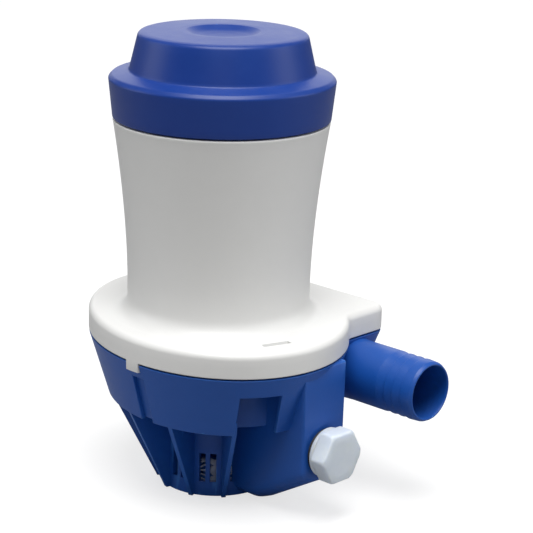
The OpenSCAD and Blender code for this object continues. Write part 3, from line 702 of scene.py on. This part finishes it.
def ear_reach(angle):
    """Distance to the lobe over the discharge: nearest of its right side, rounded corner, far side,
    sloping root and left side, where the ray meets them."""
    dx, dy = np.cos(angle), np.sin(angle)
    far = np.full_like(angle, 1e9)
    right = np.where(dx > 1e-6, EAR_X / np.maximum(dx, 1e-6), far)
    slope = (EAR_Y - EAR_ROOT[1]) / -EAR_ROOT[0]
    top = np.where(dy > 1e-6, EAR_Y / np.maximum(dy, 1e-6), far)
    lean = dy - slope * dx
    root = np.where(lean > 1e-6, EAR_Y / np.maximum(lean, 1e-6), far)
    left = np.where(dx < -1e-6, EAR_ROOT[0] / np.minimum(dx, -1e-6), far)
    reach = np.minimum(np.minimum(right, top), np.minimum(root, left))
    cx, cy = EAR_X - EAR_CORNER, EAR_Y - EAR_CORNER
    along = cx * dx + cy * dy
    inside = np.maximum(along * along - (cx * cx + cy * cy - EAR_CORNER ** 2), 0.0)
    arc = along + np.sqrt(inside)
    corner = (angle > math.atan2(cy, EAR_X)) & (angle < math.atan2(EAR_Y, cx))
    reach = np.where(corner, arc, reach)
    return np.where((angle > 0.3) & (angle < 2.5), reach, 0.0)


def outline(angle):
    """The larger of oval and ear, with the hollow where they meet eased over 1.6 mm."""
    one, two = oval_reach(angle), ear_reach(angle)
    ease = np.maximum(1.6 - np.abs(one - two), 0.0) / 1.6
    return np.maximum(one, two) + ease * ease * 1.6 / 4.0


def inset_outline(angle, inset):
    """Outline moved inwards by an inset along its own normal. Gives x and y."""
    fine = 1e-4
    reach = outline(angle)
    slope = (outline(angle + fine) - outline(angle - fine)) / (2 * fine)
    nx = reach * np.cos(angle) + slope * np.sin(angle)
    ny = reach * np.sin(angle) - slope * np.cos(angle)
    size = np.hypot(nx, ny)
    return (reach * np.cos(angle) - inset * nx / size, reach * np.sin(angle) - inset * ny / size)


def smooth_outline(angle, inset, ease=0.03):
    """Inset outline with its normal averaged over a small angle, for insets past 1 mm."""
    xs, ys = zip(*[inset_outline(angle + shift, inset) for shift in (-ease, 0.0, ease)])
    spin = [np.cos(-s) for s in (-ease, 0.0, ease)], [np.sin(-s) for s in (-ease, 0.0, ease)]
    x = sum(a * c - b * d for a, b, c, d in zip(xs, ys, *spin)) / 3.0
    y = sum(a * d + b * c for a, b, c, d in zip(xs, ys, *spin)) / 3.0
    return x, y


# ---------------------------------------------------------------- motor housing

MARK_TURN, MARK_X, MARK_W, MARK_L = math.radians(-18.3), 55.9, 3.3, 13.6
KEY_TURN, KEY_W, KEY_DROP = math.radians(-85.2), 7.4, 4.0
NECK_R, NECK_Z, LIP_Z, LIP_R, WALL = 42.6, 98.0, 175.0, 49.8, 2.6


def barrel_r(z):
    """Trumpet: straight neck, then a radius growing with the 1.7th power of height."""
    share = np.clip((z - NECK_Z) / (LIP_Z - NECK_Z), 0.0, None)
    return NECK_R + (LIP_R - NECK_R) * share ** 1.7


def ring_row(angle, radius, height, centre=(0.0, 0.0)):
    """One row of points on a circle."""
    return np.stack([centre[0] + radius * np.cos(angle), centre[1] + radius * np.sin(angle),
                     height + 0.0 * angle], axis=-1)


def make_housing():
    """White moulding as one closed grid of angle and path: lip, trumpet, foot fillet, flange top
    with its recessed mark, rounded rim with the key, hollow underside, seal pocket, inside wall."""
    mark_half = math.atan2(MARK_L / 2, MARK_X + MARK_W / 2)
    key_half = math.atan2(KEY_W / 2, 58.0)
    tiny = math.radians(0.06)
    extra = [MARK_TURN + side * (mark_half + off) for side in (-1, 1) for off in (0.0, tiny)]
    extra += [KEY_TURN + side * (key_half + off) for side in (-1, 1) for off in (0.0, tiny)]
    angle = with_lines(300, extra)
    rows = []
    for radius, height in rounded([(46.9, 174.4), (47.3, 175, 0.35), (LIP_R, 175, 0.7),
                                   (49.7, 173.9)], steps=3):
        rows.append(ring_row(angle, radius, height))
    for height in np.linspace(173.2, NECK_Z, 26):
        rows.append(ring_row(angle, barrel_r(height), height))
    for height in (95.0, 93.0):
        rows.append(ring_row(angle, NECK_R, height))
    for bend in np.linspace(0.0, math.pi / 2, 9):
        rows.append(ring_row(angle, NECK_R + 7.0 - 7.0 * math.cos(bend),
                             FLANGE_TOP + 7.0 - 7.0 * math.sin(bend)))
    # flange top: rows run from the fillet to the rim, and are straight across the mark
    start = NECK_R + 7.0
    rim_x, rim_y = inset_outline(angle, 3.0)
    rim_reach, rim_angle = np.hypot(rim_x, rim_y), np.arctan2(rim_y, rim_x)
    off = (angle - MARK_TURN + math.pi) % (2 * math.pi) - math.pi
    near = 1.0 - smooth(np.abs(off), math.radians(8.5), math.radians(20.0))
    in_mark = (np.abs(off) <= mark_half + 1e-6).astype(float)
    end_x = 66.5
    for x, sunk in ((51.2, 0), (53.4, 0), (MARK_X - 0.3, 0), (MARK_X, 0), (MARK_X + 0.06, 1),
                    (MARK_X + 1.6, 1), (MARK_X + MARK_W - 0.06, 1), (MARK_X + MARK_W, 0),
                    (60.2, 0), (62.4, 0), (64.6, 0)):
        share = (x - start) / (end_x - start)
        plain = start + (rim_reach - start) * share
        straight = x / np.cos(np.clip(off, -0.35, 0.35))
        reach = plain * (1 - near) + straight * near
        lean = (rim_angle - angle + math.pi) % (2 * math.pi) - math.pi
        drift = angle + lean * share
        rows.append(np.stack([reach * np.cos(drift), reach * np.sin(drift),
                              FLANGE_TOP - 1.4 * sunk * in_mark], axis=-1))
    for bend in np.linspace(0.0, math.pi / 2, 7):
        x, y = inset_outline(angle, 3.0 - 3.0 * math.sin(bend))
        rows.append(np.stack([x, y, 0 * angle + FLANGE_TOP - 3.0 + 3.0 * math.cos(bend)], axis=-1))
    on_key = (np.abs(angle - KEY_TURN) <= key_half + 1e-6).astype(float)
    for inset, height in ((0.0, 77.5), (0.0, FLANGE_LOW + 0.5)):
        x, y = inset_outline(angle, inset)
        rows.append(np.stack([x, y, height + 0 * angle], axis=-1))
    for inset, height in ((0.0, FLANGE_LOW + 0.45), (0.1, FLANGE_LOW + 0.12), (0.4, FLANGE_LOW),
                          (2.6, FLANGE_LOW)):
        x, y = inset_outline(angle, inset)
        low = height - on_key * (KEY_DROP + 0.5)
        rows.append(np.stack([x, y, low], axis=-1))
    x, y = smooth_outline(angle, 3.0)
    rows.append(np.stack([x, y, FLANGE_LOW + 0 * angle], axis=-1))
    rows.append(np.stack([x, y, 79.5 + 0 * angle], axis=-1))
    for radius, height in ((46.85, 79.5), (46.85, 72.9), (46.45, 72.5)):
        rows.append(ring_row(angle, radius, height, (0.0, 8.0)))
    for radius, height in ((25.0, 72.5), (5.5, 72.5), (5.5, 75.0), (11.0, 75.0), (11.0, 80.0),
                           (40.0, 80.0), (40.0, NECK_Z)):
        rows.append(ring_row(angle, radius, height))
    for height in np.linspace(NECK_Z + 8.0, LIP_Z - 1.5, 9):
        rows.append(ring_row(angle, barrel_r(height) - WALL, height))
    made = piece("housing_shell", [shell(np.stack(rows), wrap_rows=True)], "housing",
                 "housing_white", ["motor_housing"])
    return made


def make_gland_seat():
    """Raised round seat on the back of the barrel: a ring turned to the gland's direction."""
    profile = rounded([(6.1, 43.0), (9.1, 43.0), (9.1, 51.0, 0.8), (6.1, 51.0, 0.4)], closed=True)
    points = turned_x(profile, 72, 0.0, 158.0)
    turn = math.radians(135.0)
    x, y = points[..., 0].copy(), points[..., 1].copy()
    points[..., 0] = x * math.cos(turn) - y * math.sin(turn)
    points[..., 1] = x * math.sin(turn) + y * math.cos(turn)
    piece("gland_seat", [shell(points, wrap_rows=True)], "housing", "housing_white")


def make_cap():
    """Blue cap: closed lathe profile with a tapered skirt, sloping ledge, dome and shallow dish."""
    outside = rounded([
        (0.0, 212.5), (8.0, 212.55, 20.0), (13.2, 213.2, 9.0), (17.0, 215.2, 1.6),
        (20.0, 215.3, 3.0), (35.2, 214.75, 10.0), (38.5, 214.2, 2.6), (42.3, 198.2, 30.0),
        (42.8, 197.0, 1.5), (50.2, 195.35, 2.0), (51.85, 193.6, 1.5), (49.98, 175.9, 0.3),
        (47.2, 175.9, 0.2), (46.4, 172.8), (44.9, 172.8), (44.9, 171.0), (46.1, 171.0),
        (45.9, 169.5, 0.2), (43.7, 169.5, 0.2), (43.7, 176.5, 1.0), (47.6, 191.6, 2.0),
        (39.6, 195.2, 2.0), (34.3, 209.4, 2.0), (0.0, 210.8)], steps=5)
    path = stepped(outside, 4.0)
    piece("cap_shell", [shell(turned(path, 200))], "housing", "cap_blue", ["top_cap"])


# ---------------------------------------------------------------- base

WINDOW_TURN, WINDOW_W, WINDOW_TOP = math.radians(-27.6), 19.5, 62.5
NOTCH_TURN, NOTCH_W, NOTCH_HIGH = math.radians(-83.4), 6.8, 65.0
SLOT_LOW, SLOT_HIGH = 7.0, 21.0
DUCT_Y, DUCT_HALF, DUCT_X, PLUG_Z = 2.4, 13.7, 66.6, 31.3
PORT_Y, PORT_Z, PORT_R, PORT_BORE = 45.2, 56.0, 14.5, 12.5


def skirt_scale(z):
    """Share of the outline's size at a height: the skirt tapers to 0.845 at its bottom."""
    return SKIRT_TAPER + (1.0 - SKIRT_TAPER) * (z - SKIRT_LOW) / (SEAM_Z - SKIRT_LOW)


def parallel_sides(angle, z, middle, reach):
    """Moves the angles near an opening so that its sides stay parallel as the skirt tapers."""
    off = (angle - middle + math.pi) % (2 * math.pi) - math.pi
    near = 1.0 - smooth(np.abs(off), reach, reach * 2.2)
    wider = np.arcsin(np.clip(np.sin(off) / skirt_scale(z), -0.99, 0.99))
    return angle + near * (wider - off) * (np.abs(off) < reach * 2.2)


def skirt_row(angle, z, inset):
    """Points on the tapered outline at one height, inset by the wall where asked."""
    moved = parallel_sides(angle, z, WINDOW_TURN, math.radians(9.5))
    moved = parallel_sides(moved, z, NOTCH_TURN, math.radians(4.0))
    x, y = smooth_outline(moved, inset) if inset > 1.0 else inset_outline(moved, inset)
    scale = skirt_scale(z)
    return np.stack([x * scale, y * scale, z + 0.0 * angle], axis=-1)


def pierced(outer, inner, keep):
    """Closed wall between two grids that wrap round, with openings where keep is False: outer and
    inner faces over the kept cells, and a face across the wall at every edge of them."""
    rows, cols = outer.shape[:2]
    total = rows * cols
    i, j = np.nonzero(keep)
    k = (j + 1) % cols
    out = lambda a, b: a * cols + b
    inn = lambda a, b: total + a * cols + b
    faces = [np.stack([out(i, j), out(i, k), out(i + 1, k), out(i + 1, j)], 1),
             np.stack([inn(i, j), inn(i + 1, j), inn(i + 1, k), inn(i, k)], 1)]
    padded = np.pad(keep, ((1, 1), (0, 0)))
    lefts = keep & ~np.roll(keep, 1, axis=1)
    rights = keep & ~np.roll(keep, -1, axis=1)
    lows = keep & ~padded[:-2]
    highs = keep & ~padded[2:]
    i, j = np.nonzero(lefts)
    faces.append(np.stack([out(i, j), out(i + 1, j), inn(i + 1, j), inn(i, j)], 1))
    i, j = np.nonzero(rights)
    k = (j + 1) % cols
    faces.append(np.stack([out(i, k), inn(i, k), inn(i + 1, k), out(i + 1, k)], 1))
    i, j = np.nonzero(lows)
    k = (j + 1) % cols
    faces.append(np.stack([out(i, j), inn(i, j), inn(i, k), out(i, k)], 1))
    i, j = np.nonzero(highs)
    k = (j + 1) % cols
    faces.append(np.stack([out(i + 1, j), out(i + 1, k), inn(i + 1, k), inn(i + 1, j)], 1))
    points = np.concatenate([outer.reshape(-1, 3), inner.reshape(-1, 3)])
    quads = np.concatenate(faces)
    used, quads = np.unique(quads, return_inverse=True)
    return points[used], quads.reshape(-1, 4)


def make_skirt():
    """Tapered skirt: outline scaled with height, with the open window, the slot and the key notch."""
    window_half = math.asin(WINDOW_W / 2 / 69.8)
    slot_half = math.asin(NOTCH_W / 2 / 57.6)
    key_half = math.asin((KEY_W / 2 + 0.35) / 57.6)
    sides = [(WINDOW_TURN, window_half), (NOTCH_TURN, slot_half), (KEY_TURN, key_half)]
    extra = [middle + side * half for middle, half in sides for side in (-1, 1)]
    angle = with_lines(280, extra)
    heights = np.array([42.0, 43.5, 45.8, 48.0, 51.0, 54.5, 58.5, WINDOW_TOP, NOTCH_HIGH,
                        67.65, 69.5, 71.0, SEAM_Z - 0.35])
    outer = np.stack([skirt_row(angle, z, 0.0) for z in heights])
    inner = np.stack([skirt_row(angle, z, 2.5) for z in heights])
    middle_angle = (angle + np.roll(angle, -1)) / 2
    middle_angle[-1] = angle[-1] + 1e-3
    middle_z = (heights[:-1] + heights[1:]) / 2
    keep = np.ones((len(heights) - 1, len(angle)), dtype=bool)
    keep &= ~((np.abs(middle_angle - WINDOW_TURN) < window_half) & (middle_z < WINDOW_TOP)[:, None])
    keep &= ~((np.abs(middle_angle - NOTCH_TURN) < slot_half) & (middle_z < NOTCH_HIGH)[:, None])
    keep &= ~((np.abs(middle_angle - KEY_TURN) < key_half) & (middle_z > 67.65)[:, None])
    piece("base_skirt", [pierced(outer, inner, keep)], "base", "base_blue", ["pump_base"],
          crease=40.0, bevel=0.4)


def make_notch_back():
    """Wall set back behind the notch: closed loops round its plan (out along one face of the
    tapered outline, back along the other), stacked in height and drawn together at both ends."""
    half = math.asin((NOTCH_W / 2 + 1.5) / 57.6)
    angle = np.linspace(NOTCH_TURN - half, NOTCH_TURN + half, 10)
    loops = []
    for z, pinch in ((43.2, 1.0), (43.2, 0.06), (43.4, 0.0), (50.0, 0.0), (57.0, 0.0), (64.0, 0.0),
                     (69.1, 0.0), (69.1, 1.0)):
        near, far = skirt_row(angle, z, 2.2), skirt_row(angle, z, 4.1)
        centre = (near + far) / 2
        near, far = near + (centre - near) * pinch, far + (centre - far) * pinch
        loops.append(np.concatenate([near, far[::-1]]))
    piece("base_notch_back", [shell(np.stack(loops))], "base", "base_blue", ["pump_base"])


def make_deck():
    """Plate under the seam, from the skirt's inside to the chamber's edge: closed ring of rows."""
    angle = np.linspace(-math.pi, math.pi, 200, endpoint=False)
    rows = []
    for inset, z in ((1.4, 71.3), (1.4, 69.0)):
        x, y = smooth_outline(angle, inset)
        scale = skirt_scale(z)
        rows.append(np.stack([x * scale, y * scale, z + 0 * angle], axis=-1))
    for radius, z in ((45.0, 69.0), (45.0, 71.1), (45.2, 71.3)):
        rows.append(ring_row(angle, radius, z, (0.0, 8.0)))
    return piece("base_deck", [shell(np.stack(rows), wrap_rows=True)], "base", "base_blue",
                 ["pump_base"], bevel=0.0)


def bore_along_x(radius, start, end, y, z, cols=96):
    """Closed cylinder along +X, for cutting."""
    profile = np.array([(0.0, start), (radius, start), (radius, end), (0.0, end)])
    return shell(turned_x(profile, cols, y, z))


def make_chamber():
    """Round chamber off the axis, its floor pierced by the eye on the axis: closed ring of circles
    whose centres slide from one to the other. The discharge bore is cut through its wall."""
    angle = np.linspace(-math.pi, math.pi, 200, endpoint=False)
    off, on = (0.0, 8.0), (0.0, 0.0)
    path = [(47.5, 70.5, off), (47.5, 60.0, off), (47.5, 50.0, off), (47.5, 41.2, off),
            (47.2, 40.4, off), (46.4, 40.0, off), (16.6, 40.0, on), (16.1, 40.3, on),
            (16.0, 40.8, on), (16.0, 42.4, on), (16.5, 43.0, on), (43.8, 43.0, off),
            (44.7, 43.4, off), (45.0, 44.2, off), (45.0, 55.0, off), (45.0, 70.5, off)]
    rows = [ring_row(angle, radius, z, centre) for radius, z, centre in path]
    made = piece("base_chamber", [shell(np.stack(rows), wrap_rows=True)], "base", "base_blue",
                 ["pump_base"])
    drilled(made, [bore_along_x(PORT_BORE, 8.0, 60.0, PORT_Y, PORT_Z)])


def chamber_space():
    """Closed cylinder that fills the chamber, for clearing what would stand inside it."""
    inside = np.array([(0.0, 41.6), (46.3, 41.6), (46.3, 80.0), (0.0, 80.0)])
    return shell(turned(inside, 200, (0.0, 8.0)))


def make_basket():
    """Strainer basket: round wall on the axis with two rows of upright slots in each bay."""
    half = math.asin(1.5 / 26.0)
    turns = [math.radians(-4.0 - 360.0 * (i + 0.5) / 11 + side * 5.6)
             for i in range(11) for side in (-1, 1)]
    turns = [(turn + math.pi) % (2 * math.pi) - math.pi for turn in turns]
    angle = with_lines(110, [turn + side * half for turn in turns for side in (-1, 1)])
    heights = np.array([0.0, 2.5, SLOT_LOW, 11.5, 16.0, SLOT_HIGH, 28.0, 36.5, 40.5])
    outer = np.stack([ring_row(angle, 26.0, z) for z in heights])
    inner = np.stack([ring_row(angle, 23.6, z) for z in heights])
    middle = (angle + np.roll(angle, -1)) / 2
    middle[-1] = angle[-1] + 1e-3
    gap = np.abs(middle[:, None] - np.array(turns)[None, :]).min(axis=1)
    middle_z = (heights[:-1] + heights[1:]) / 2
    keep = ~((gap < half)[None, :] & ((middle_z > SLOT_LOW) & (middle_z < SLOT_HIGH))[:, None])
    made = piece("base_basket", [pierced(outer, inner, keep)], "base", "base_blue", ["pump_base"],
                 crease=40.0, bevel=0.35)
    drilled(made, [bore_along_x(8.0, 15.0, 40.0, DUCT_Y, PLUG_Z)])


def make_fins():
    """Ten upright fins: a flat outline in the plane of the radius and height, given a thickness."""
    shells = []
    for i in range(1, 11):
        turn = math.radians(-4.0 - 360.0 * i / 11)
        reach = float(outline(np.array([(turn + math.pi) % (2 * math.pi) - math.pi]))[0])
        top = reach * SKIRT_TAPER - 0.9
        corners = np.array([(25.2, 0.0), (27.8, 0.0), (top, 42.7), (top + 0.6, 45.5),
                            (top + 0.6, 48.0), (44.0, 48.0), (25.2, 42.0)])
        side = np.array([-1.0, 1.0])
        plan = np.zeros((2, len(corners), 3))
        plan[..., 0] = corners[:, 0] * math.cos(turn) - side[:, None] * math.sin(turn)
        plan[..., 1] = corners[:, 0] * math.sin(turn) + side[:, None] * math.cos(turn)
        plan[..., 2] = corners[:, 1]
        hub = plan.mean(axis=1, keepdims=True).repeat(len(corners), axis=1)
        shells.append(shell(np.concatenate([hub[:1], plan, hub[1:]])))
    made = piece("base_fins", shells, "base", "base_blue", ["pump_base"], crease=40.0, bevel=0.45)
    drilled(made, [chamber_space()])


def duct_reach(round_, drop):
    """Distance from the plug's axis to the duct's section: flat top and sides, and a shallow
    elliptical bottom whose start is drop below the axis."""
    dy, dz = np.cos(round_), np.sin(round_)
    far = np.full_like(round_, 1e9)
    side = np.where(np.abs(dy) > 1e-6, DUCT_HALF / np.maximum(np.abs(dy), 1e-6), far)
    top = np.where(dz > 1e-6, (71.5 - PLUG_Z) / np.maximum(dz, 1e-6), far)
    depth = 6.5
    a = (dy / DUCT_HALF) ** 2 + (dz / depth) ** 2
    b = dz * drop / depth ** 2
    c = (drop / depth) ** 2 - 1.0
    arc = (-b + np.sqrt(np.maximum(b * b - a * c, 0.0))) / a
    low = side * dz < -drop
    return np.where(low, arc, np.minimum(side, top))


def make_duct():
    """Second inlet: sections (flat sides, shallow round bottom) lofted from the basket to the face,
    the bottom rising to the face, which turns in to the plug's round hole."""
    corner = math.atan2(71.5 - PLUG_Z, DUCT_HALF)
    extra = [corner, math.pi - corner]
    for drop in (7.3, 10.0, 14.0, 18.0, 24.8):
        low = -math.atan2(drop, DUCT_HALF)
        extra += [low, -math.pi - low]
    round_ = with_lines(150, extra)
    back = lambda y: np.sqrt(np.maximum(24.8 ** 2 - y ** 2, 1.0))

    def lay(share, inset, size=None):
        """Section at a share of the way from basket to face, inset, or drawn in to a circle."""
        x_guess = 25.0 + (DUCT_X - 25.0) * share
        side_low = max(24.0 - 0.576 * (DUCT_X - x_guess), 6.5)
        reach = duct_reach(round_, PLUG_Z - side_low) - inset
        if size is not None:
            reach = 8.0 + (reach - 8.0) * size
        y, z = reach * np.cos(round_), reach * np.sin(round_)
        x = back(DUCT_Y + y) * (1 - share) + DUCT_X * share
        return np.stack([x, DUCT_Y + y, PLUG_Z + z], axis=-1)

    rows = [lay(share, 0.0) for share in np.linspace(0.0, 0.9, 12)]
    rows += [lay(share, inset) for share, inset in
             ((0.955, 0.0), (0.972, 0.03), (0.984, 0.2), (0.993, 0.5), (1.0, 1.1))]
    rows += [lay(1.0, 1.1, size) for size in (0.7, 0.4, 0.15, 0.03)]
    rows += [lay(share, 0.0, 0.0) for share in (0.992, 0.8, 0.5, 0.2, 0.0)]
    rows += [lay(0.0, 0.0, 0.5)]
    made = piece("base_duct", [shell(np.stack(rows), wrap_rows=True)], "base", "base_blue",
                 ["pump_base"])
    drilled(made, [chamber_space()])


def make_hose_tail():
    """Hose tail: lathe profile along +X with saw-tooth barbs, a chamfered mouth and a bore, cut
    back where it would stand inside the chamber."""
    r, low = PORT_R, PORT_R - 0.95
    profile = rounded([
        (PORT_BORE, 14.0), (r + 0.4, 14.0), (r + 0.4, 44.0, 20.0), (r, 52.0, 20.0),
        (r, 72.0, 0.4), (low, 76.6, 0.25), (r, 77.0, 0.35), (low, 81.4, 0.25), (r, 81.8, 0.35),
        (low, 86.2, 0.25), (r, 86.6, 0.35), (r - 0.3, 91.4, 0.8), (r - 1.1, 92.95, 0.4),
        (PORT_BORE + 0.2, 93.0, 0.3), (PORT_BORE, 92.0, 0.3)], closed=True, steps=3)
    path = stepped(profile, 6.0, closed=True)
    made = piece("base_hose_tail", [shell(turned_x(path, 144, PORT_Y, PORT_Z), wrap_rows=True)],
                 "base", "base_blue", ["pump_base"])
    inside = np.array([(0.0, 43.2), (45.6, 43.2), (45.6, 80.0), (0.0, 80.0)])
    drilled(made, [shell(turned(inside, 200, (0.0, 8.0)))])


# ---------------------------------------------------------------- plug

def make_plug():
    """Hex plug as one polar surface about its axis: a helical thread ridge on the shank, a round
    collar, and a hexagon whose radius is the smaller of the flats and a turned chamfer."""
    face = DUCT_X + 1.6 + 0.1
    round_ = np.linspace(0.0, 2.0 * math.pi, 192, endpoint=False)
    rows = []

    def lay(x, reach):
        reach = reach + 0.0 * round_
        rows.append(np.stack([x + 0.0 * round_, DUCT_Y + reach * np.cos(round_),
                              PLUG_Z + reach * np.sin(round_)], axis=-1))

    lay(face - 2.0, 0.0)
    lay(face - 2.0, 4.9)
    lay(DUCT_X - 11.95, 5.0)
    lay(DUCT_X - 12.0, 6.3)
    for x in np.arange(DUCT_X - 11.7, DUCT_X - 0.2, 0.25):
        turn = (x / 2.0 - round_ / (2.0 * math.pi)) % 1.0
        ridge = 1.0 - np.abs(turn - 0.5) * 2.0
        lay(x, 6.75 + 0.85 * smooth(ridge, 0.15, 0.85))
    lay(DUCT_X, 6.9)
    lay(face, 6.9)
    for reach, x in rounded([(7.2, face), (11.6, face, 0.5), (11.6, face + 2.2, 0.7),
                             (9.0, face + 2.2)], steps=4):
        lay(x, reach)
    lobe = (round_ + math.pi / 6.0) % (math.pi / 3.0) - math.pi / 6.0
    lobe = np.abs(lobe) * -1.0 + math.pi / 6.0
    flat = 11.58 / np.cos(np.minimum(lobe, math.radians(27.6)))
    hex_low = face + 2.2
    for rise, trim, most in ((-0.3, 0.6, 99.0), (0.0, 0.25, 99.0), (0.3, 0.05, 99.0),
                             (0.8, 0.0, 99.0), (3.0, 0.0, 99.0), (5.6, 0.0, 99.0),
                             (6.6, 0.0, 13.2), (7.2, 0.05, 12.9), (7.6, 0.15, 12.5),
                             (7.95, 0.45, 12.0), (8.13, 1.0, 11.4)):
        lay(hex_low + rise, np.minimum(flat - trim, most))
    for reach in (7.5, 5.0, 2.5, 0.0):
        lay(hex_low + 8.18, reach)
    piece("plug_body", [shell(np.stack(rows))], "plug", "plug_clear", ["hex_plug"], crease=50.0)


make_housing()
make_gland_seat()
make_cap()
make_skirt()
make_notch_back()
make_deck()
make_chamber()
make_basket()
make_fins()
make_duct()
make_hose_tail()
make_plug()

bpy.context.view_layer.update()
